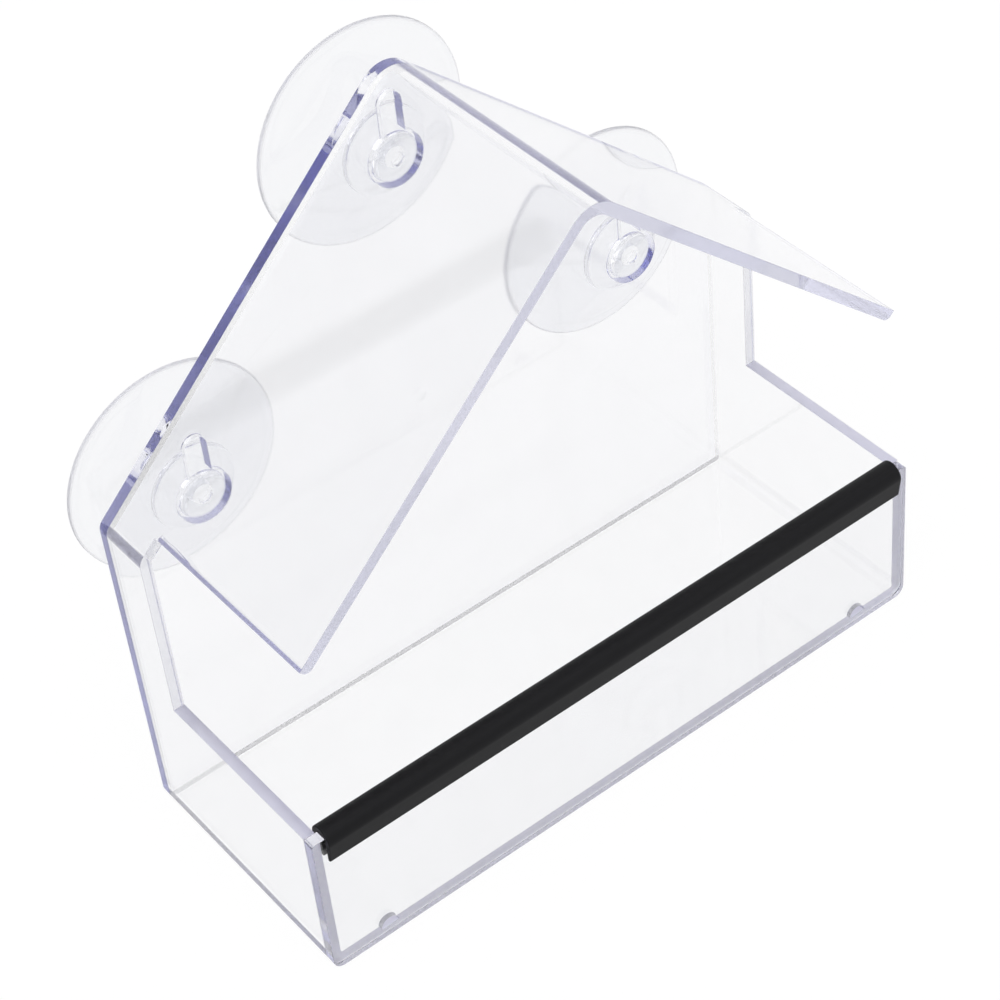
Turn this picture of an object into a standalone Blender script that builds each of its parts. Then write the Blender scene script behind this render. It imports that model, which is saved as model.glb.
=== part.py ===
"""Window bird feeder: a clear tray in the form of a house, held on glass by three suction cups.

Metres, +Z up. The front faces -Y and the window is at +Y. The origin is at the centre of the floor's underside.
"""

import math

import bmesh
import bpy

# House: outer sizes of the clear shell
house_width = 0.150
house_depth = 0.060
# The heights at which the flat outer faces would meet if their bends were sharp
apex_height = 0.1455
eave_height = 0.076
rim_height = 0.0365
column_depth = 0.014
sheet = 0.0025
# What two bonded sheets keep between their faces
bond_gap = 0.0003

# Outer radii of the shell's bends and corners
bottom_bend = 0.0025
eave_bend = 0.003
apex_bend = 0.0065
rim_round = 0.0006

# A roof pane's lower edge in front of the column lies inside the wall's outer face by this much
eave_setback = 0.0042
eave_round = 0.0015

# Keyhole slots in the back panel
hole_radius = 0.0059
slot_width = 0.0048
slot_rise = 0.0148
top_hole_below_apex = 0.0234
side_hole_below_eave = 0.0056
side_hole_inset = 0.0224

# Half-round drain holes in the front panel, with their flat sides level with the floor's top
drain_radius = 0.002
drain_inset = 0.011

# Perch trim: a round-topped strip with a slot along its underside, pushed over the front panel's top edge
trim_radius = 0.0028
trim_height = 0.0078
trim_centre_below_rim = 0.0008
trim_lip_half_width = 0.0021
trim_lip_round = 0.0005
trim_clearance = 0.00015
trim_end_gap = 0.0003
trim_seat_gap = 0.0003

# Suction cup, measured outwards from the window. Its head stands in the keyhole's round hole
cup_radius = 0.0234
cup_land_width = 0.0016
cup_edge_height = 0.0013
cup_hollow_depth = 0.0052
cup_standoff = 0.0107
hub_radius = 0.0094
hub_gap = 0.0019
hub_round = 0.0009
hub_skirt_height = 0.0012
neck_clearance = 0.0003
neck_flare = 0.0003
# By how much the neck is longer than the back panel is thick
neck_spare = 0.0002
head_clearance = 0.0007
head_thickness = 0.0018
head_edge_height = 0.0005
dimple_radius = 0.0016
dimple_depth = 0.0005

# Drawing values
arc_step = math.radians(11.0)
smooth_angle = math.radians(30.0)
cup_steps = 36
dome_rings = 5
dome_power = 1.15
cutter_overrun = 0.004
weld_distance = 0.00001

# Places that follow from the sizes above
half_width = house_width / 2
half_depth = house_depth / 2
inner_half_width = half_width - sheet
back_panel_y = half_depth - sheet / 2
front_panel_y = -half_depth + sheet / 2
room_back_y = half_depth - sheet - bond_gap
column_front_y = half_depth - column_depth
roof_slope = math.atan2(apex_height - eave_height, half_width)
panel_half_width = inner_half_width - bond_gap
front_end_y = -half_depth + sheet + bond_gap
drain_bottom = sheet + bond_gap
trim_centre_z = rim_height - trim_centre_below_rim
neck_radius = slot_width / 2 - neck_clearance
head_radius = hole_radius - head_clearance
keyholes = [
    (0, apex_height - top_hole_below_apex),
    (side_hole_inset - half_width, eave_height - side_hole_below_eave),
    (half_width - side_hole_inset, eave_height - side_hole_below_eave),
]


def clear_scene():
    for old in list(bpy.data.objects):
        bpy.data.objects.remove(old, do_unlink=True)


def make_collection(name, hidden=False):
    collection = bpy.data.collections.new(name)
    collection.hide_render = hidden
    bpy.context.scene.collection.children.link(collection)
    return collection


def make_material(name, colour, roughness, transmission, ior=1.49, alpha=1.0):
    material = bpy.data.materials.new(name)
    material.use_nodes = True
    shader = material.node_tree.nodes["Principled BSDF"]
    shader.inputs["Base Color"].default_value = (*colour, 1.0)
    shader.inputs["Metallic"].default_value = 0.0
    shader.inputs["Roughness"].default_value = roughness
    shader.inputs["Transmission Weight"].default_value = transmission
    shader.inputs["IOR"].default_value = ior
    shader.inputs["Alpha"].default_value = alpha
    return material


def arc(centre, radius, start, end):
    """Points on an arc from the start angle to the end angle, ends included."""
    steps = max(2, math.ceil(abs(end - start) / arc_step))
    angles = [start + (end - start) * i / steps for i in range(steps + 1)]
    return [(centre[0] + radius * math.cos(a), centre[1] + radius * math.sin(a)) for a in angles]


def rounded(corners):
    """A closed outline from (u, v, radius) corners, each with a radius drawn as a tangent arc."""
    outline = []
    for i, (u, v, radius) in enumerate(corners):
        if radius == 0:
            outline.append((u, v))
            continue
        before = corners[i - 1]
        after = corners[(i + 1) % len(corners)]
        to_before = math.atan2(before[1] - v, before[0] - u)
        to_after = math.atan2(after[1] - v, after[0] - u)
        opening = (to_after - to_before + math.pi) % (2 * math.pi) - math.pi
        middle = to_before + opening / 2
        reach = radius / math.sin(abs(opening) / 2)
        centre = (u + reach * math.cos(middle), v + reach * math.sin(middle))
        turn = math.copysign(math.pi - abs(opening), opening)
        start = middle + math.pi + turn / 2
        outline += arc(centre, radius, start, start - turn)
    return outline


def house_outline():
    """The shell's outer outline, seen from the front."""
    return rounded([
        (-half_width, 0, bottom_bend),
        (half_width, 0, bottom_bend),
        (half_width, eave_height, eave_bend),
        (0, apex_height, apex_bend),
        (-half_width, eave_height, eave_bend),
    ])


def keyhole_outline(x, z):
    """A round hole with a narrow slot rising from it."""
    slot_radius = slot_width / 2
    slot_centre = z + slot_rise - slot_radius
    meeting = math.asin(slot_radius / hole_radius)
    start = math.pi / 2 + meeting
    hole = arc((x, z), hole_radius, start, start + 2 * math.pi - 2 * meeting)
    end = arc((x, slot_centre), slot_radius, 0, math.pi)
    return hole + end


def sheet_mesh(name, outlines, thickness):
    """A flat sheet from closed outlines in its own X and Y, centred on its own Z. Inner outlines are holes."""
    curve = bpy.data.curves.new(name + "_outline", "CURVE")
    curve.dimensions = "2D"
    curve.fill_mode = "BOTH"
    curve.extrude = thickness / 2
    for outline in outlines:
        spline = curve.splines.new("POLY")
        spline.points.add(len(outline) - 1)
        for point, (u, v) in zip(spline.points, outline):
            point.co = (u, v, 0, 1)
        spline.use_cyclic_u = True
    guide = bpy.data.objects.new(name + "_outline", curve)
    bpy.context.scene.collection.objects.link(guide)
    graph = bpy.context.evaluated_depsgraph_get()
    mesh = bpy.data.meshes.new_from_object(guide.evaluated_get(graph))
    mesh.name = name
    bpy.data.objects.remove(guide, do_unlink=True)
    work = bmesh.new()
    work.from_mesh(mesh)
    bmesh.ops.remove_doubles(work, verts=work.verts, dist=weld_distance)
    bmesh.ops.recalc_face_normals(work, faces=work.faces)
    work.to_mesh(mesh)
    work.free()
    return mesh


def place(name, mesh, collection, material=None):
    piece = bpy.data.objects.new(name, mesh)
    collection.objects.link(piece)
    if material:
        mesh.materials.clear()
        mesh.materials.append(material)
        mesh.shade_smooth()
        mesh.set_sharp_from_angle(angle=smooth_angle)
    return piece


def as_cutter(piece):
    piece.hide_render = True
    piece.display_type = "WIRE"
    return piece


def cut(piece, cutter, operation="DIFFERENCE"):
    modifier = piece.modifiers.new(cutter.name, "BOOLEAN")
    modifier.object = cutter
    modifier.operation = operation
    modifier.solver = "EXACT"


def stand_up(piece, y):
    """Turns a sheet drawn in X and Y so that its outline's Y is the world's Z, centred on the given y."""
    piece.rotation_euler = (math.pi / 2, 0, 0)
    piece.location = (0, y, 0)


def make_back_panel(parts, material):
    holes = [keyhole_outline(x, z) for x, z in keyholes]
    panel = place("back_panel", sheet_mesh("back_panel", [house_outline(), *holes], sheet), parts, material)
    stand_up(panel, back_panel_y)


def make_floor_panel(parts, material):
    outline = [
        (-panel_half_width, front_end_y),
        (panel_half_width, front_end_y),
        (panel_half_width, room_back_y),
        (-panel_half_width, room_back_y),
    ]
    panel = place("floor_panel", sheet_mesh("floor_panel", [outline], sheet), parts, material)
    panel.location = (0, 0, sheet / 2)


def make_front_panel(parts, material):
    """A low sheet over the front ends of the walls and the floor, with a drain hole near each end."""
    drain_x = inner_half_width - drain_inset
    outline = rounded([
        (-half_width, 0, bottom_bend),
        (half_width, 0, bottom_bend),
        (half_width, rim_height, rim_round),
        (-half_width, rim_height, rim_round),
    ])
    drains = [arc((x, drain_bottom), drain_radius, math.pi, 0) for x in (-drain_x, drain_x)]
    panel = place("front_panel", sheet_mesh("front_panel", [outline, *drains], sheet), parts, material)
    stand_up(panel, front_panel_y)


def make_side_wall(name, side, parts, cutters, material):
    """A wall as deep as the tray up to its rim and a column from there to the eave, cut to the house's outline."""
    outline = [
        (front_end_y, 0),
        (room_back_y, 0),
        (room_back_y, apex_height),
        (column_front_y, apex_height),
        (column_front_y, rim_height),
        (front_end_y, rim_height),
    ]
    wall = place(name, sheet_mesh(name, [outline], sheet), parts, material)
    wall.rotation_euler = (math.pi / 2, 0, math.pi / 2)
    wall.location = (side * (half_width - sheet / 2), 0, 0)
    form_mesh = sheet_mesh(name + "_form", [house_outline()], house_depth + cutter_overrun)
    form = as_cutter(place(name + "_form", form_mesh, cutters))
    stand_up(form, 0)
    cut(wall, form, "INTERSECT")


def roof_point(side, along, inwards):
    """A point of a roof pane's section: this far down the slope from the sharp apex, this far in from its face."""
    x = along * math.cos(roof_slope) - inwards * math.sin(roof_slope)
    z = apex_height - along * math.sin(roof_slope) - inwards * math.cos(roof_slope)
    return side * x, z


def roof_section(side):
    """Half of the apex bend and the flat pane, which ends in a plumb face against the side wall."""
    fall = math.tan(roof_slope)
    drop = sheet / math.cos(roof_slope)
    bend_drop = apex_bend / math.cos(roof_slope)
    centre_z = apex_height - bend_drop
    ridge_x = bond_gap / 2
    down = math.pi / 2 - roof_slope
    outer = arc((0, centre_z), apex_bend, math.acos(ridge_x / apex_bend), down)
    inner_radius = apex_bend - sheet
    inner = arc((0, centre_z), inner_radius, down, math.acos(ridge_x / inner_radius))
    eave_top = (panel_half_width, apex_height - panel_half_width * fall)
    eave_low = (panel_half_width, apex_height - panel_half_width * fall - drop)
    return [(side * x, z) for x, z in [*outer, eave_top, eave_low, *inner]]


def eave_cutter_outline(side):
    """Takes the pane's end back to a square edge with a rounded underside."""
    along = (half_width - eave_setback) / math.cos(roof_slope)
    end = half_width / math.cos(roof_slope) + cutter_overrun
    turn = arc((along - eave_round, sheet - eave_round), eave_round, 0, math.pi / 2)
    path = [(along, -cutter_overrun), *turn, (along - eave_round, sheet + cutter_overrun)]
    path += [(end, sheet + cutter_overrun), (end, -cutter_overrun)]
    return [roof_point(side, a, b) for a, b in path]


def make_roof_pane(name, side, parts, cutters, material):
    length = room_back_y + half_depth
    pane = place(name, sheet_mesh(name, [roof_section(side)], length), parts, material)
    stand_up(pane, room_back_y - length / 2)
    free_length = column_front_y + half_depth + cutter_overrun
    edge_mesh = sheet_mesh(name + "_edge", [eave_cutter_outline(side)], free_length)
    cutter = as_cutter(place(name + "_edge", edge_mesh, cutters))
    stand_up(cutter, column_front_y - free_length / 2)
    cut(pane, cutter)


def trim_section():
    """The trim's outline round its top's centre: a round top, flanks that leave it as tangents, and the slot."""
    bottom = trim_radius - trim_height
    slot = sheet / 2 + trim_clearance
    slot_top = rim_height + trim_seat_gap - trim_centre_z
    to_lip = math.atan2(bottom, trim_lip_half_width)
    tangent = to_lip + math.acos(trim_radius / math.hypot(bottom, trim_lip_half_width))
    top = arc((0, 0), trim_radius, tangent, math.pi - tangent)
    left_lip = (-trim_lip_half_width, bottom, trim_lip_round)
    right_lip = (trim_lip_half_width, bottom, trim_lip_round)
    corners = [(*top[-1], 0), left_lip, (-slot, bottom, 0), (-slot, slot_top, 0)]
    corners += [(slot, slot_top, 0), (slot, bottom, 0), right_lip, (*top[0], 0)]
    return top[1:-1] + rounded(corners)


def make_perch_trim(parts, material):
    length = 2 * (inner_half_width - trim_end_gap)
    trim = place("perch_trim", sheet_mesh("perch_trim", [trim_section()], length), parts, material)
    trim.rotation_euler = (math.pi / 2, 0, math.pi / 2)
    trim.location = (0, front_panel_y, trim_centre_z)


def cup_profile():
    """Half of the cup's section: radius, and height from the window, from the head's front down to the hollow."""
    hub_top = cup_standoff - hub_gap
    head_back = hub_top + sheet + neck_spare
    head_front = head_back + head_thickness
    head_edge = head_back + head_edge_height
    dimple_floor = head_front - dimple_depth
    # The head's front is half an ellipse, from the dimple's edge out to the head's own edge
    crown = arc((0, 0), 1, math.acos(dimple_radius / head_radius), 0)
    profile = [(0, dimple_floor), (dimple_radius - dimple_depth, dimple_floor)]
    profile += [(head_radius * u, head_edge + (head_front - head_edge) * v) for u, v in crown]
    profile += [(head_radius - head_edge_height, head_back), (neck_radius, head_back)]
    profile += [(neck_radius, hub_top + neck_flare), (neck_radius + neck_flare, hub_top)]
    profile += arc((hub_radius - hub_round, hub_top - hub_round), hub_round, math.pi / 2, 0)
    skirt_z = hub_top - hub_skirt_height
    profile.append((hub_radius, skirt_z))
    # The dome falls from the hub's foot to the edge in a shallow curve that flattens outwards
    for i in range(1, dome_rings):
        share = i / dome_rings
        r = hub_radius + (cup_radius - hub_radius) * share
        profile.append((r, cup_edge_height + (skirt_z - cup_edge_height) * (1 - share) ** dome_power))
    profile += [(cup_radius, cup_edge_height), (cup_radius, 0), (cup_radius - cup_land_width, 0)]
    hollow_radius = cup_radius - cup_land_width
    for i in range(1, dome_rings):
        share = i / dome_rings
        profile.append((hollow_radius * (1 - share), cup_hollow_depth * (1 - (1 - share) ** 2)))
    profile.append((0, cup_hollow_depth))
    return profile


def make_suction_cup(name, x, z, parts, material):
    mesh = bpy.data.meshes.new(name)
    points = cup_profile()
    edges = [(i, i + 1) for i in range(len(points) - 1)]
    mesh.from_pydata([(r, 0, h) for r, h in points], edges, [])
    mesh.materials.append(material)
    cup = bpy.data.objects.new(name, mesh)
    parts.objects.link(cup)
    turn = cup.modifiers.new("turn", "SCREW")
    turn.axis = "Z"
    turn.steps = cup_steps
    turn.render_steps = cup_steps
    turn.use_merge_vertices = True
    turn.merge_threshold = weld_distance
    turn.use_smooth_shade = True
    cup.rotation_euler = (math.pi / 2, 0, 0)
    cup.location = (x, half_depth + cup_standoff, z)


def main():
    clear_scene()
    parts = make_collection("window_bird_feeder")
    cutters = make_collection("cutters", hidden=True)
    acrylic = make_material("clear_acrylic", (0.93, 0.93, 0.97), 0.04, 1.0, 1.49, 0.35)
    soft_vinyl = make_material("clear_soft_vinyl", (0.95, 0.95, 0.96), 0.12, 1.0, 1.53, 0.4)
    black_vinyl = make_material("black_vinyl", (0.022, 0.022, 0.024), 0.42, 0.0)
    make_back_panel(parts, acrylic)
    make_floor_panel(parts, acrylic)
    make_front_panel(parts, acrylic)
    for hand, side in (("left", -1), ("right", 1)):
        make_side_wall(hand + "_side_wall", side, parts, cutters, acrylic)
        make_roof_pane(hand + "_roof_pane", side, parts, cutters, acrylic)
    make_perch_trim(parts, black_vinyl)
    for name, (x, z) in zip(("top", "left", "right"), keyholes):
        make_suction_cup("suction_cup_" + name, x, z, parts, soft_vinyl)


main()
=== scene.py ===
import math

import bmesh
import bpy
from mathutils import Matrix, Vector


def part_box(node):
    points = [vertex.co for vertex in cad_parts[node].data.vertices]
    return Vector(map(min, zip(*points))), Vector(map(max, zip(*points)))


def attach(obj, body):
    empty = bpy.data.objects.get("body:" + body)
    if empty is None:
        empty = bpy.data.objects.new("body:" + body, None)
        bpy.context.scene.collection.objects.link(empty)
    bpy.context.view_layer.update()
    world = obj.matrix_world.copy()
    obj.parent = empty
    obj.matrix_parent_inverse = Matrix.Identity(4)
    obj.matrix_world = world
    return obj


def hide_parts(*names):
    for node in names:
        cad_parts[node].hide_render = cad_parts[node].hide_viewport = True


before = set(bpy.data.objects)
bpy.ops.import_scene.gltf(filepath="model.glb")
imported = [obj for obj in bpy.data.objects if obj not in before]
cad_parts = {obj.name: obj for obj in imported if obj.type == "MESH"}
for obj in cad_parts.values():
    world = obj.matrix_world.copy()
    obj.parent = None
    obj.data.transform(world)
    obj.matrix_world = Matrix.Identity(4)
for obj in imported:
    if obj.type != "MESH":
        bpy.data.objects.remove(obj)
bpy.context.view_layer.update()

# One millimetre in metres
mm = 0.001

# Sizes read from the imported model
back_low, back_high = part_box("back_panel")
front_low, front_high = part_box("front_panel")
trim_low, trim_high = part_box("perch_trim")
half_width = back_high.x
back_face = back_high.y
front_face = front_low.y
sheet = back_high.y - back_low.y
rim_height = front_high.z

# Sizes of the house that no box gives: heights at which the flat outer faces would meet, and the column
apex_height = 145.5 * mm
eave_height = 76 * mm
column_depth = 14 * mm
bottom_bend = 2.5 * mm
eave_bend = 3 * mm
apex_bend = 6.5 * mm
rim_round = 0.6 * mm
eave_setback = 4.2 * mm
eave_round = 1.5 * mm
inner_eave_bend = 0.5 * mm
inner_bottom_bend = 0.4 * mm
seam = 0.05 * mm

# Keyhole slots
hole_radius = 5.9 * mm
slot_width = 4.8 * mm
slot_rise = 14.8 * mm
cup_names = ("suction_cup_top", "suction_cup_left", "suction_cup_right")

# Half-round drain holes in the front panel
drain_radius = 2 * mm
drain_inset = 11 * mm
drain_lift = 0.3 * mm

# Gate mark on the back panel: a shallow hollow
gate_x = -2 * mm
gate_z = 65.5 * mm
gate_radius = 1.5 * mm
gate_depth = 0.3 * mm

# Perch trim
trim_radius = (trim_high.y - trim_low.y) / 2
trim_lip_half_width = 2.1 * mm
trim_lip_round = 0.5 * mm
trim_clearance = 0.1 * mm

# Suction cup, measured outwards from the window
cup_radius = 23.4 * mm
cup_land_width = 1.6 * mm
cup_edge_height = 0.9 * mm
cup_edge_round = 0.4 * mm
cup_hollow_depth = 5.2 * mm
cup_standoff = 10.7 * mm
hub_radius = 9.4 * mm
hub_gap = 1.9 * mm
hub_round = 0.9 * mm
hub_skirt_height = 1.2 * mm
neck_radius = 2.1 * mm
neck_flare = 0.3 * mm
neck_spare = 0.2 * mm
head_radius = 5.2 * mm
head_thickness = 1.8 * mm
head_edge_height = 0.5 * mm
head_edge_round = 0.3 * mm
dimple_radius = 1.6 * mm
dimple_depth = 0.5 * mm
dimple_round = 0.25 * mm

# Fineness of the meshes
edge_width = 0.2 * mm
fine_edge_width = 0.12 * mm
edge_segments = 2
edge_angle = math.radians(32)
cup_sharp_angle = math.radians(38)
arc_step = math.radians(2.5)
overrun = 5 * mm
weld = 0.001 * mm
cup_steps = 240
dome_rings = 16
dome_power = 1.15

# How far a face's normal must point along an axis to count as facing that way
facing = 0.9
half_facing = 0.5

# Clear sheets: their tint at each surface, and their colour and density in depth
acrylic_ior = 1.49
acrylic_roughness = 0.045
acrylic_tint = (0.962, 0.963, 0.966)
acrylic_depth = (0.1, 0.1, 0.5)
acrylic_density = 4.5
back_depth = (0.1, 0.11, 0.56)
back_density = 8.5
acrylic_wave_scale = 25
acrylic_wave_height = 0.001 * mm

# Soft clear vinyl of the suction cups
vinyl_ior = 1.53
vinyl_roughness = 0.08
vinyl_tint = (0.925, 0.93, 0.945)
vinyl_depth = (0.2, 0.2, 0.45)
vinyl_density = 3.0
vinyl_wave_scale = 60
vinyl_wave_height = 0.004 * mm

# Haze and clouds in the clear plastics
haze_scale = 90
haze_spread = 0.012
cloud_start = 0.3
cloud_end = 0.7
cloud_detail = 3
roughness_low = 0.85
roughness_high = 1.15

# Black vinyl of the trim, with fine lines drawn along it
black_dark = (0.006, 0.006, 0.007, 1)
black_light = (0.010, 0.010, 0.0115, 1)
black_line_scale = (30, 2500, 2500)
black_gloss = (0.42, 0.55)
black_specular = 0.12
black_line_strength = 0.4
black_line_depth = 0.02 * mm

# Floor: the part of its look that glows for seen rays, and a strength at which lit paper and glow make white
floor_glow_share = 0.93
floor_glow = 1.02
floor_size = 8
floor_drop = 0.2 * mm
paper_colour = (0.86, 0.86, 0.86, 1)
paper_roughness = 0.9

# Studio light
white = (1, 1, 1, 1)
room_light = 0.55
seen_white = 1.0
lamp_energy = 1.5
lamp_angle = math.radians(70)
lamp_from = (-0.35, -0.45, 1.0)
long_path = 160
diffuse_path = 4
transparent_path = 32

# Camera: place in metres, angles in degrees, and the lens on a sensor 36 mm wide
camera_sensor = 36
camera_near = 0.01
camera_place = (-0.2278, -0.33163, 0.429)
camera_heading = 33.88
camera_dip = 42.88
camera_roll = -6.42
camera_lens = 101.183


def arc(centre, radius, start, end):
    """Points on an arc from the start angle to the end angle, ends included."""
    steps = max(2, math.ceil(abs(end - start) / arc_step))
    angles = [start + (end - start) * i / steps for i in range(steps + 1)]
    return [(centre[0] + radius * math.cos(a), centre[1] + radius * math.sin(a)) for a in angles]


def rounded(corners):
    """A closed outline from (u, v, radius) corners, each with a radius drawn as a tangent arc."""
    outline = []
    for i, (u, v, radius) in enumerate(corners):
        if radius == 0:
            outline.append((u, v))
            continue
        before = corners[i - 1]
        after = corners[(i + 1) % len(corners)]
        to_before = math.atan2(before[1] - v, before[0] - u)
        to_after = math.atan2(after[1] - v, after[0] - u)
        opening = (to_after - to_before + math.pi) % (2 * math.pi) - math.pi
        middle = to_before + opening / 2
        reach = radius / math.sin(abs(opening) / 2)
        centre = (u + reach * math.cos(middle), v + reach * math.sin(middle))
        turn = math.copysign(math.pi - abs(opening), opening)
        start = middle + math.pi + turn / 2
        outline += arc(centre, radius, start, start - turn)
    return outline


def link(name, mesh):
    """Puts a mesh into the scene as a piece."""
    piece = bpy.data.objects.new(name, mesh)
    bpy.context.scene.collection.objects.link(piece)
    return piece


def prism(name, outline, start, end, axis):
    """A solid from a closed outline, drawn in X and Z along Y, or in Y and Z along X."""
    work = bmesh.new()
    place = (lambda u, v, w: (u, w, v)) if axis == "Y" else (lambda u, v, w: (w, u, v))
    near = [work.verts.new(place(u, v, start)) for u, v in outline]
    far = [work.verts.new(place(u, v, end)) for u, v in outline]
    work.faces.new(near)
    work.faces.new(far)
    for i in range(len(outline)):
        j = (i + 1) % len(outline)
        work.faces.new((near[i], near[j], far[j], far[i]))
    bmesh.ops.recalc_face_normals(work, faces=work.faces)
    mesh = bpy.data.meshes.new(name)
    work.to_mesh(mesh)
    work.free()
    return link(name, mesh)


def settle(piece):
    """Makes the piece's mesh what its modifiers give, and removes them."""
    graph = bpy.context.evaluated_depsgraph_get()
    mesh = bpy.data.meshes.new_from_object(piece.evaluated_get(graph))
    mesh.name = piece.name
    piece.modifiers.clear()
    piece.data = mesh


def carve(piece, cutters):
    """Takes every cutter out of the piece and removes the cutters."""
    for cutter in cutters:
        modifier = piece.modifiers.new(cutter.name, "BOOLEAN")
        modifier.object = cutter
        modifier.operation = "DIFFERENCE"
        modifier.solver = "EXACT"
    settle(piece)
    for cutter in cutters:
        bpy.data.objects.remove(cutter, do_unlink=True)


def soften_edges(piece, width, segments):
    """Rounds the sharp edges and shades the piece smooth."""
    bevel = piece.modifiers.new("edges", "BEVEL")
    bevel.width = width
    bevel.segments = segments
    bevel.limit_method = "ANGLE"
    bevel.angle_limit = edge_angle
    bevel.miter_outer = "MITER_ARC"
    settle(piece)
    piece.data.shade_smooth()


def true_normals(piece):
    """Lets the large flat faces set the normals at softened edges."""
    weighted = piece.modifiers.new("normals", "WEIGHTED_NORMAL")
    weighted.mode = "FACE_AREA"
    weighted.weight = 100
    weighted.keep_sharp = True


def house_outline(inset, apex, eave, bottom):
    """The house seen from the front, drawn in by the inset, with its bends' radii."""
    slope = roof_slope()
    side = half_width - inset
    ridge = apex_height - inset / math.cos(slope)
    wall_top = ridge - side * math.tan(slope)
    return rounded([
        (-side, inset, bottom),
        (side, inset, bottom),
        (side, wall_top, eave),
        (0, ridge, apex),
        (-side, wall_top, eave),
    ])


def roof_slope():
    """The angle between a roof pane and the level."""
    return math.atan2(apex_height - eave_height, half_width)


def roof_point(side, along, inwards):
    """A point of a roof pane: so far down the slope from the sharp apex, and so far in from its face."""
    slope = roof_slope()
    x = along * math.cos(slope) - inwards * math.sin(slope)
    z = apex_height - along * math.sin(slope) - inwards * math.cos(slope)
    return side * x, z


def front_cutter_outline(side):
    """What is cut away before a column: from the rim up to the roof pane's edge, and outside that edge."""
    along = (half_width - eave_setback) / math.cos(roof_slope())
    turn = arc((along - eave_round, sheet - eave_round), eave_round, 0, math.pi / 2)
    edge = [(along, -overrun), *turn, (along - eave_round, sheet + overrun)]
    path = [roof_point(side, a, b) for a, b in edge]
    outside = side * (half_width + overrun)
    return [*path, (path[-1][0], rim_height), (outside, rim_height), (outside, path[0][1])]


def keyhole_outline(x, z):
    """A round hole with a narrow slot rising from it."""
    slot_radius = slot_width / 2
    slot_centre = z + slot_rise - slot_radius
    meeting = math.asin(slot_radius / hole_radius)
    start = math.pi / 2 + meeting
    hole = arc((x, z), hole_radius, start, start + 2 * math.pi - 2 * meeting)
    return hole + arc((x, slot_centre), slot_radius, 0, math.pi)


def cup_axis(name):
    """Where a cup's axis crosses the back panel, as X and Z."""
    low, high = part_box(name)
    return (low.x + high.x) / 2, (low.z + high.z) / 2


def make_gate_mark():
    """A lens that hollows the back panel's front face where the mould was filled."""
    face = back_face - sheet
    ball_radius = (gate_radius ** 2 + gate_depth ** 2) / (2 * gate_depth)
    reach = math.asin(gate_radius / ball_radius)
    dome = arc((0, gate_depth - ball_radius), ball_radius, math.pi / 2, math.pi / 2 - 2 * reach)
    profile = [(0, -gate_depth), *[(r, -h) for r, h in dome[1:]]]
    return turned("gate_mark", [*profile, (0, profile[-1][1])], gate_x, face, gate_z)


def split_level(piece, height):
    """Cuts the faces along a level plane, so that those below it can have their own finish."""
    work = bmesh.new()
    work.from_mesh(piece.data)
    geometry = [*work.verts, *work.edges, *work.faces]
    bmesh.ops.bisect_plane(work, geom=geometry, plane_co=(0, 0, height), plane_no=(0, 0, 1))
    work.to_mesh(piece.data)
    work.free()


def mark_faces(piece, finish, chosen):
    """Marks the faces that show a finish of their own, for the material to read."""
    marks = piece.data.attributes.new(finish, "FLOAT", "FACE")
    marks.data.foreach_set("value", [1.0 if chosen(face) else 0.0 for face in piece.data.polygons])


def block(name, low, high):
    """A plain block between two corners."""
    outline = [(low[0], low[2]), (high[0], low[2]), (high[0], high[2]), (low[0], high[2])]
    return prism(name, outline, low[1], high[1], "Y")


def make_sleeve(material):
    """Floor, walls and roof as one clear shape, open at the front and at the back."""
    outer = house_outline(0, apex_bend, eave_bend, bottom_bend)
    inner = house_outline(sheet, apex_bend - sheet, inner_eave_bend, inner_bottom_bend)
    sleeve = prism("house_sleeve", outer, front_face, back_face, "Y")
    cutters = [prism("room", inner, front_face - overrun, back_face + overrun, "Y")]
    column_front = back_face - column_depth
    for side in (-1, 1):
        outline = front_cutter_outline(side)
        cutters.append(prism("front_cut", outline, front_face - overrun, column_front, "Y"))
    outside = half_width + overrun
    front_end = front_face + sheet + seam
    low = (-outside, front_face - overrun, -overrun)
    cutters.append(block("front_end", low, (outside, front_end, rim_height + sheet)))
    carve(sleeve, cutters)
    soften_edges(sleeve, edge_width, edge_segments)
    # The back end is cut after the edges are rounded, so that it lies flat on the back sheet
    back_end = back_face - sheet - seam
    low = (-outside, back_end, -overrun)
    high = (outside, back_face + overrun, apex_height + overrun)
    carve(sleeve, [block("back_end", low, high)])
    split_level(sleeve, sheet)
    true_normals(sleeve)
    sleeve.data.materials.append(material)

    def at_back(face):
        return face.normal.y > facing and face.center.y > back_end - edge_width

    def at_front(face):
        near = abs(face.center.y - front_end) < edge_width and face.center.z < rim_height
        return face.normal.y < -facing and near

    def on_rim(face):
        level = face.normal.z > facing and abs(face.center.z - rim_height) < edge_width
        return level and face.center.y < column_front

    mark_faces(sleeve, "bonded", lambda face: at_front(face) or (at_back(face) and face.center.z < sheet))
    mark_faces(sleeve, "dull", lambda face: at_back(face) and face.center.z > sheet)
    mark_faces(sleeve, "rim_top", on_rim)
    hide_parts("floor_panel", "left_side_wall", "right_side_wall", "left_roof_pane", "right_roof_pane")
    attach(sleeve, "house")
    return sleeve


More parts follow.
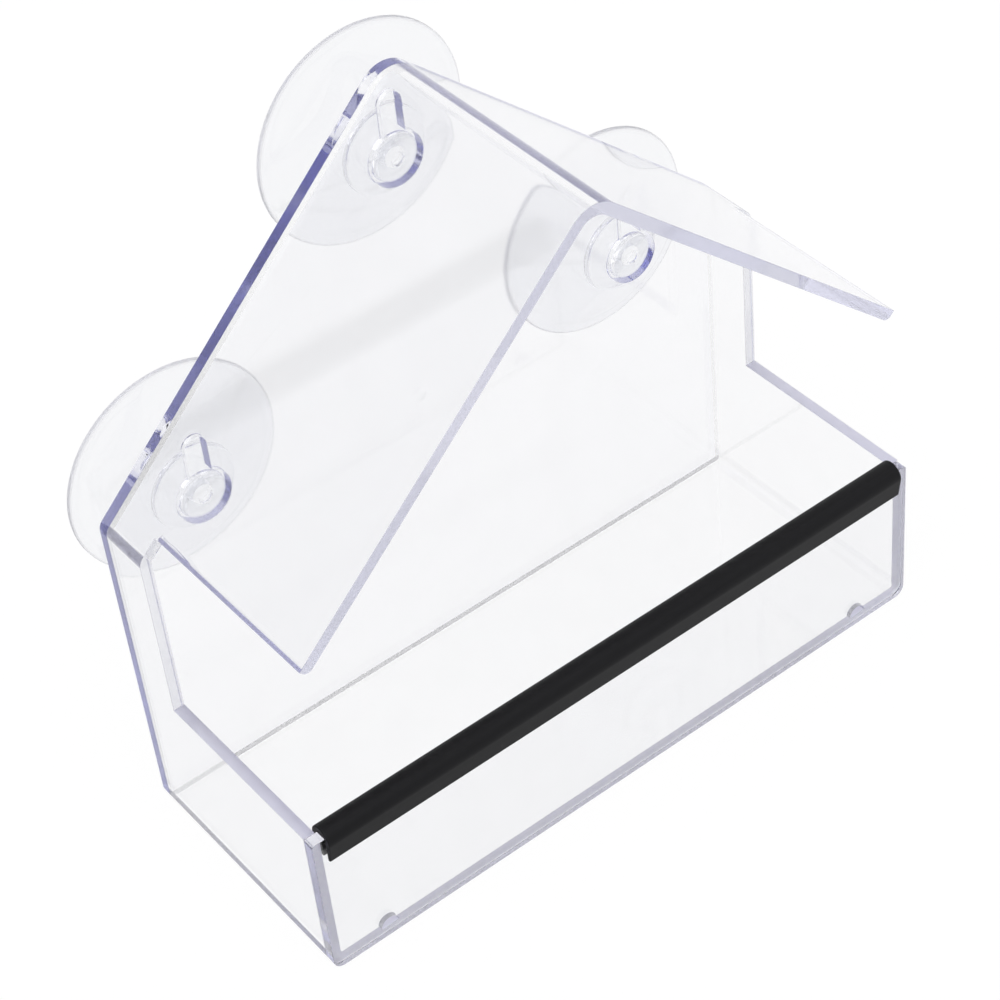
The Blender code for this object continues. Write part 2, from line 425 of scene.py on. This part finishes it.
def make_back_sheet(material):
    """The back of the house, with its keyholes and the hollow of the gate mark."""
    outline = house_outline(0, apex_bend, eave_bend, bottom_bend)
    piece = prism("back_sheet", outline, back_face - sheet, back_face, "Y")
    cutters = []
    start = back_face - sheet - overrun
    for name in cup_names:
        outline = keyhole_outline(*cup_axis(name))
        cutters.append(prism(name + "_keyhole", outline, start, back_face + overrun, "Y"))
    carve(piece, cutters)
    soften_edges(piece, fine_edge_width, edge_segments)
    carve(piece, [make_gate_mark()])
    true_normals(piece)
    piece.data.materials.append(material)
    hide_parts("back_panel")
    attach(piece, "house")
    return piece


def make_front_sheet(material):
    """The low front sheet over the ends of the walls and the floor, with its sawn drain holes."""
    outline = rounded([
        (-half_width, 0, bottom_bend),
        (half_width, 0, bottom_bend),
        (half_width, rim_height, rim_round),
        (-half_width, rim_height, rim_round),
    ])
    piece = prism("front_sheet", outline, front_face, front_face + sheet, "Y")
    drain_x = half_width - sheet - drain_inset
    cutters = []
    for x in (-drain_x, drain_x):
        drain = arc((x, sheet + drain_lift), drain_radius, math.pi, 0)
        cutters.append(prism("drain", drain, front_face - overrun, front_face + sheet + overrun, "Y"))
    carve(piece, cutters)
    soften_edges(piece, fine_edge_width, edge_segments)
    true_normals(piece)
    piece.data.materials.append(material)

    def in_hole(face):
        near = abs(abs(face.center.x) - drain_x) < drain_radius + fine_edge_width
        level = sheet < face.center.z < sheet + 2 * drain_radius
        return near and level and abs(face.normal.y) < half_facing

    mark_faces(piece, "sawn", in_hole)
    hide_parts("front_panel")
    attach(piece, "house")
    return piece


def trim_outline():
    """The trim's section: a round top, flanks that leave it as tangents, and the slot between its lips."""
    centre_y = (trim_low.y + trim_high.y) / 2
    centre_z = trim_high.z - trim_radius
    slot = sheet / 2 + trim_clearance
    slot_top = rim_height + trim_clearance
    bottom = trim_low.z
    fall = bottom - centre_z
    lip = trim_lip_half_width
    tangent = math.atan2(fall, lip) + math.acos(trim_radius / math.hypot(fall, lip))
    top = arc((0, centre_z), trim_radius, tangent, math.pi - tangent)
    corners = [(*top[-1], 0), (-lip, bottom, trim_lip_round), (-slot, bottom, 0), (-slot, slot_top, 0)]
    corners += [(slot, slot_top, 0), (slot, bottom, 0), (lip, bottom, trim_lip_round), (*top[0], 0)]
    return [(centre_y + y, z) for y, z in top[1:-1] + rounded(corners)]


def make_trim(material):
    """The black trim that sits on the front sheet's top edge."""
    piece = prism("black_trim", trim_outline(), trim_low.x, trim_high.x, "X")
    soften_edges(piece, edge_width, edge_segments)
    true_normals(piece)
    piece.data.materials.append(material)
    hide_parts("perch_trim")
    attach(piece, "perch_trim")
    return piece


def cup_profile():
    """Half of the cup's section as radius and height from the window, from the head to the hollow."""
    hub_top = cup_standoff - hub_gap
    head_back = hub_top + sheet + neck_spare
    head_front = head_back + head_thickness
    head_edge = head_back + head_edge_height
    dimple_floor = head_front - dimple_depth
    # The head's front is half an ellipse, from the dimple's edge out to the head's own edge
    crown = arc((0, 0), 1, math.acos(dimple_radius / head_radius), 0)
    crown = [(head_radius * u, head_edge + (head_front - head_edge) * v) for u, v in crown]
    wall = dimple_radius - dimple_round
    turn_up = (wall - dimple_round, dimple_floor + dimple_round)
    profile = [(0, dimple_floor), *arc(turn_up, dimple_round, -math.pi / 2, 0)]
    profile += crown
    turn_back = (head_radius - head_edge_round, head_back + head_edge_round)
    profile += arc(turn_back, head_edge_round, 0, -math.pi / 2)
    profile.append((neck_radius, head_back))
    profile += arc((neck_radius + neck_flare, hub_top + neck_flare), neck_flare, math.pi, 1.5 * math.pi)
    profile += arc((hub_radius - hub_round, hub_top - hub_round), hub_round, math.pi / 2, 0)
    skirt_z = hub_top - hub_skirt_height
    profile.append((hub_radius, skirt_z))
    # The dome falls from the hub's foot to the edge in a shallow curve that flattens outwards
    for i in range(1, dome_rings):
        share = i / dome_rings
        r = hub_radius + (cup_radius - hub_radius) * share
        profile.append((r, cup_edge_height + (skirt_z - cup_edge_height) * (1 - share) ** dome_power))
    lip = (cup_radius - cup_edge_round, cup_edge_height - cup_edge_round)
    profile += arc(lip, cup_edge_round, math.pi / 2, 0)
    profile += [(cup_radius, 0), (cup_radius - cup_land_width, 0)]
    hollow_radius = cup_radius - cup_land_width
    for i in range(1, dome_rings):
        share = i / dome_rings
        profile.append((hollow_radius * (1 - share), cup_hollow_depth * (1 - (1 - share) ** 2)))
    profile.append((0, cup_hollow_depth))
    return profile


def turned(name, profile, x, window_y, z):
    """The profile turned round an axis along Y, with its heights measured from the window towards -Y."""
    work = bmesh.new()
    rings = []
    for r, h in profile:
        if r == 0:
            rings.append([work.verts.new((x, window_y - h, z))])
            continue
        angles = [2 * math.pi * i / cup_steps for i in range(cup_steps)]
        circle = [(x + r * math.cos(a), z + r * math.sin(a)) for a in angles]
        rings.append([work.verts.new((u, window_y - h, v)) for u, v in circle])
    for upper, lower in zip(rings, rings[1:]):
        for i in range(cup_steps):
            j = (i + 1) % cup_steps
            ends = ((upper, i), (upper, j), (lower, j), (lower, i))
            corners = [ring[k % len(ring)] for ring, k in ends]
            work.faces.new(list(dict.fromkeys(corners)))
    bmesh.ops.recalc_face_normals(work, faces=work.faces)
    mesh = bpy.data.meshes.new(name)
    work.to_mesh(mesh)
    work.free()
    return link(name, mesh)


def make_cup(name, material):
    """A suction cup with its hub, neck and head, and a frosted edge round its lip."""
    x, z = cup_axis(name)
    window_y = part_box(name)[1].y
    piece = turned(name + "_moulding", cup_profile(), x, window_y, z)
    piece.data.shade_smooth()
    piece.data.set_sharp_from_angle(angle=cup_sharp_angle)
    piece.data.materials.append(material)

    def on_edge(face):
        out = math.hypot(face.center.x - x, face.center.z - z)
        return out > cup_radius - cup_edge_round and window_y - face.center.y > weld

    mark_faces(piece, "cup_edge", on_edge)
    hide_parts(name)
    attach(piece, name)
    return piece


def new_material(name):
    """A new material with its nodes, links, shader and output."""
    material = bpy.data.materials.new(name)
    material.use_nodes = True
    nodes = material.node_tree.nodes
    return material, nodes, material.node_tree.links, nodes["Principled BSDF"], nodes["Material Output"]


def cloudy_colour(nodes, links, noise, tint, spread):
    """A tint that the noise makes a little paler in places."""
    colour = nodes.new("ShaderNodeValToRGB")
    colour.color_ramp.elements[0].position = cloud_start
    colour.color_ramp.elements[0].color = (*tint, 1)
    colour.color_ramp.elements[1].position = cloud_end
    colour.color_ramp.elements[1].color = (*[min(1, c + spread) for c in tint], 1)
    links.new(noise.outputs["Fac"], colour.inputs["Fac"])
    return colour.outputs["Color"]


def add_finish(material, finish, tint, roughness, clearness, cloud_scale, cloud_spread):
    """Gives the faces that are marked for it another tint, gloss and clearness of the same plastic."""
    nodes = material.node_tree.nodes
    links = material.node_tree.links
    shader = nodes["Principled BSDF"]
    mark = nodes.new("ShaderNodeAttribute")
    mark.attribute_name = finish
    place = nodes.new("ShaderNodeTexCoord")
    clouds = nodes.new("ShaderNodeTexNoise")
    clouds.inputs["Scale"].default_value = cloud_scale
    clouds.inputs["Detail"].default_value = cloud_detail
    links.new(place.outputs["Object"], clouds.inputs["Vector"])
    colour = nodes.new("ShaderNodeMixRGB")
    links.new(mark.outputs["Fac"], colour.inputs["Fac"])
    links.new(shader.inputs["Base Color"].links[0].from_socket, colour.inputs["Color1"])
    links.new(cloudy_colour(nodes, links, clouds, tint, cloud_spread), colour.inputs["Color2"])
    links.new(colour.outputs["Color"], shader.inputs["Base Color"])
    for name, value in (("Roughness", roughness), ("Transmission Weight", clearness)):
        socket = shader.inputs[name]
        share = nodes.new("ShaderNodeMapRange")
        links.new(mark.outputs["Fac"], share.inputs["Value"])
        if socket.is_linked:
            links.new(socket.links[0].from_socket, share.inputs["To Min"])
        else:
            share.inputs["To Min"].default_value = socket.default_value
        share.inputs["To Max"].default_value = value
        links.new(share.outputs["Result"], socket)


def clear_material(name, ior, tint, roughness, depth_colour, density, wave_scale, wave_height):
    """Clear plastic that darkens with the length of the light's path inside it, with faint moulding waves."""
    material, nodes, links, shader, output = new_material(name)
    shader.inputs["Transmission Weight"].default_value = 1.0
    shader.inputs["IOR"].default_value = ior
    place = nodes.new("ShaderNodeTexCoord")
    haze = nodes.new("ShaderNodeTexNoise")
    haze.inputs["Scale"].default_value = haze_scale
    haze.inputs["Detail"].default_value = cloud_detail
    links.new(place.outputs["Object"], haze.inputs["Vector"])
    shade = nodes.new("ShaderNodeMapRange")
    shade.inputs["To Min"].default_value = roughness_low * roughness
    shade.inputs["To Max"].default_value = roughness_high * roughness
    links.new(haze.outputs["Fac"], shade.inputs["Value"])
    links.new(shade.outputs["Result"], shader.inputs["Roughness"])
    links.new(cloudy_colour(nodes, links, haze, tint, haze_spread), shader.inputs["Base Color"])
    waves = nodes.new("ShaderNodeTexNoise")
    waves.inputs["Scale"].default_value = wave_scale
    waves.inputs["Detail"].default_value = 1
    links.new(place.outputs["Object"], waves.inputs["Vector"])
    bump = nodes.new("ShaderNodeBump")
    bump.inputs["Strength"].default_value = 1.0
    bump.inputs["Distance"].default_value = wave_height
    links.new(waves.outputs["Fac"], bump.inputs["Height"])
    links.new(bump.outputs["Normal"], shader.inputs["Normal"])
    volume = nodes.new("ShaderNodeVolumeAbsorption")
    volume.inputs["Color"].default_value = (*depth_colour, 1)
    volume.inputs["Density"].default_value = density
    links.new(volume.outputs["Volume"], output.inputs["Volume"])
    return material


def black_material():
    """Black extruded vinyl with fine drawn lines along its length and a satin skin."""
    material, nodes, links, shader, output = new_material("black_vinyl_finish")
    place = nodes.new("ShaderNodeTexCoord")
    stretch = nodes.new("ShaderNodeMapping")
    stretch.inputs["Scale"].default_value = black_line_scale
    links.new(place.outputs["Object"], stretch.inputs["Vector"])
    lines = nodes.new("ShaderNodeTexNoise")
    lines.inputs["Scale"].default_value = 1
    lines.inputs["Detail"].default_value = 3
    links.new(stretch.outputs["Vector"], lines.inputs["Vector"])
    colour = nodes.new("ShaderNodeValToRGB")
    colour.color_ramp.elements[0].color = black_dark
    colour.color_ramp.elements[1].color = black_light
    links.new(lines.outputs["Fac"], colour.inputs["Fac"])
    links.new(colour.outputs["Color"], shader.inputs["Base Color"])
    gloss = nodes.new("ShaderNodeMapRange")
    gloss.inputs["To Min"].default_value = black_gloss[0]
    gloss.inputs["To Max"].default_value = black_gloss[1]
    links.new(lines.outputs["Fac"], gloss.inputs["Value"])
    links.new(gloss.outputs["Result"], shader.inputs["Roughness"])
    shader.inputs["Specular IOR Level"].default_value = black_specular
    bump = nodes.new("ShaderNodeBump")
    bump.inputs["Strength"].default_value = black_line_strength
    bump.inputs["Distance"].default_value = black_line_depth
    links.new(lines.outputs["Fac"], bump.inputs["Height"])
    links.new(bump.outputs["Normal"], shader.inputs["Normal"])
    return material


def seen_through(nodes, links):
    """One for the camera's own rays and for what shows in gloss and through clear plastic, else zero."""
    path = nodes.new("ShaderNodeLightPath")
    first = nodes.new("ShaderNodeMath")
    first.operation = "MAXIMUM"
    links.new(path.outputs["Is Camera Ray"], first.inputs[0])
    links.new(path.outputs["Is Glossy Ray"], first.inputs[1])
    second = nodes.new("ShaderNodeMath")
    second.operation = "MAXIMUM"
    links.new(first.outputs["Value"], second.inputs[0])
    links.new(path.outputs["Is Transmission Ray"], second.inputs[1])
    return second.outputs["Value"]


def make_floor():
    """A plain pale floor that shows white, with part of its look from light so that it keeps the shadows."""
    bpy.ops.mesh.primitive_plane_add(size=floor_size)
    floor = bpy.context.object
    floor.name = "floor"
    floor.location = (0, 0, -floor_drop)
    material, nodes, links, shader, output = new_material("floor_paper")
    shader.inputs["Base Color"].default_value = paper_colour
    shader.inputs["Roughness"].default_value = paper_roughness
    shader.inputs["Specular IOR Level"].default_value = 0.0
    glow = nodes.new("ShaderNodeEmission")
    glow.inputs["Strength"].default_value = floor_glow
    share = nodes.new("ShaderNodeMath")
    share.operation = "MULTIPLY"
    share.inputs[1].default_value = floor_glow_share
    links.new(seen_through(nodes, links), share.inputs[0])
    mix = nodes.new("ShaderNodeMixShader")
    links.new(share.outputs["Value"], mix.inputs["Fac"])
    links.new(shader.outputs["BSDF"], mix.inputs[1])
    links.new(glow.outputs["Emission"], mix.inputs[2])
    links.new(mix.outputs["Shader"], output.inputs["Surface"])
    floor.data.materials.append(material)


def make_world():
    """An even room light, which shows white where it is seen."""
    world = bpy.data.worlds.new("studio")
    bpy.context.scene.world = world
    world.use_nodes = True
    nodes = world.node_tree.nodes
    links = world.node_tree.links
    light = nodes["Background"]
    light.inputs["Color"].default_value = white
    light.inputs["Strength"].default_value = room_light
    seen = nodes.new("ShaderNodeBackground")
    seen.inputs["Color"].default_value = white
    seen.inputs["Strength"].default_value = seen_white
    mix = nodes.new("ShaderNodeMixShader")
    links.new(seen_through(nodes, links), mix.inputs["Fac"])
    links.new(light.outputs["Background"], mix.inputs[1])
    links.new(seen.outputs["Background"], mix.inputs[2])
    links.new(mix.outputs["Shader"], nodes["World Output"].inputs["Surface"])


def make_lamp():
    """One wide soft light from above and a little to the front left."""
    data = bpy.data.lights.new("soft_light", "SUN")
    data.energy = lamp_energy
    data.angle = lamp_angle
    lamp = bpy.data.objects.new("soft_light", data)
    bpy.context.scene.collection.objects.link(lamp)
    lamp.rotation_euler = Vector(lamp_from).to_track_quat("Z", "Y").to_euler()


def make_camera():
    """A camera that sees the house as the photograph does."""
    data = bpy.data.cameras.new("camera")
    data.sensor_width = camera_sensor
    data.lens = camera_lens
    data.clip_start = camera_near
    camera = bpy.data.objects.new("camera", data)
    bpy.context.scene.collection.objects.link(camera)
    turn = Matrix.Rotation(math.radians(-camera_heading), 4, "Z")
    tilt = Matrix.Rotation(math.radians(90 - camera_dip), 4, "X")
    roll = Matrix.Rotation(math.radians(camera_roll), 4, "Z")
    camera.matrix_world = Matrix.Translation(camera_place) @ turn @ tilt @ roll
    bpy.context.scene.camera = camera


def set_light_paths():
    """Clear plastic carries light far along its sheets, so the paths may bounce often."""
    cycles = bpy.context.scene.cycles
    cycles.max_bounces = long_path
    cycles.glossy_bounces = long_path
    cycles.transmission_bounces = long_path
    cycles.diffuse_bounces = diffuse_path
    cycles.transparent_max_bounces = transparent_path


back_acrylic = clear_material("clear_back_finish", acrylic_ior, acrylic_tint, acrylic_roughness,
                              back_depth, back_density, acrylic_wave_scale, acrylic_wave_height)
acrylic = clear_material("clear_acrylic_finish", acrylic_ior, acrylic_tint, acrylic_roughness,
                         acrylic_depth, acrylic_density, acrylic_wave_scale, acrylic_wave_height)
vinyl = clear_material("clear_vinyl_finish", vinyl_ior, vinyl_tint, vinyl_roughness,
                       vinyl_depth, vinyl_density, vinyl_wave_scale, vinyl_wave_height)
# Glued ends, ends joined clear to the back sheet, sawn top edges, sawn drain holes and the cups' lips
add_finish(acrylic, "bonded", tint=(0.88, 0.87, 0.97), roughness=0.5, clearness=0.92,
           cloud_scale=900, cloud_spread=0.1)
add_finish(acrylic, "dull", tint=(0.985, 0.985, 0.99), roughness=0.22, clearness=1.0,
           cloud_scale=300, cloud_spread=0.012)
add_finish(acrylic, "rim_top", tint=(0.8, 0.79, 0.92), roughness=0.3, clearness=0.75,
           cloud_scale=300, cloud_spread=0.04)
add_finish(acrylic, "sawn", tint=(0.66, 0.65, 0.82), roughness=0.45, clearness=0.6,
           cloud_scale=500, cloud_spread=0.05)
add_finish(vinyl, "cup_edge", tint=(0.9, 0.9, 0.93), roughness=0.4, clearness=0.9,
           cloud_scale=300, cloud_spread=0.02)
make_sleeve(acrylic)
make_back_sheet(back_acrylic)
make_front_sheet(acrylic)
make_trim(black_material())
for cup_name in cup_names:
    make_cup(cup_name, vinyl)
make_floor()
make_world()
make_lamp()
make_camera()
set_light_paths()
bpy.context.scene.view_settings.view_transform = "Standard"
bpy.context.view_layer.update()
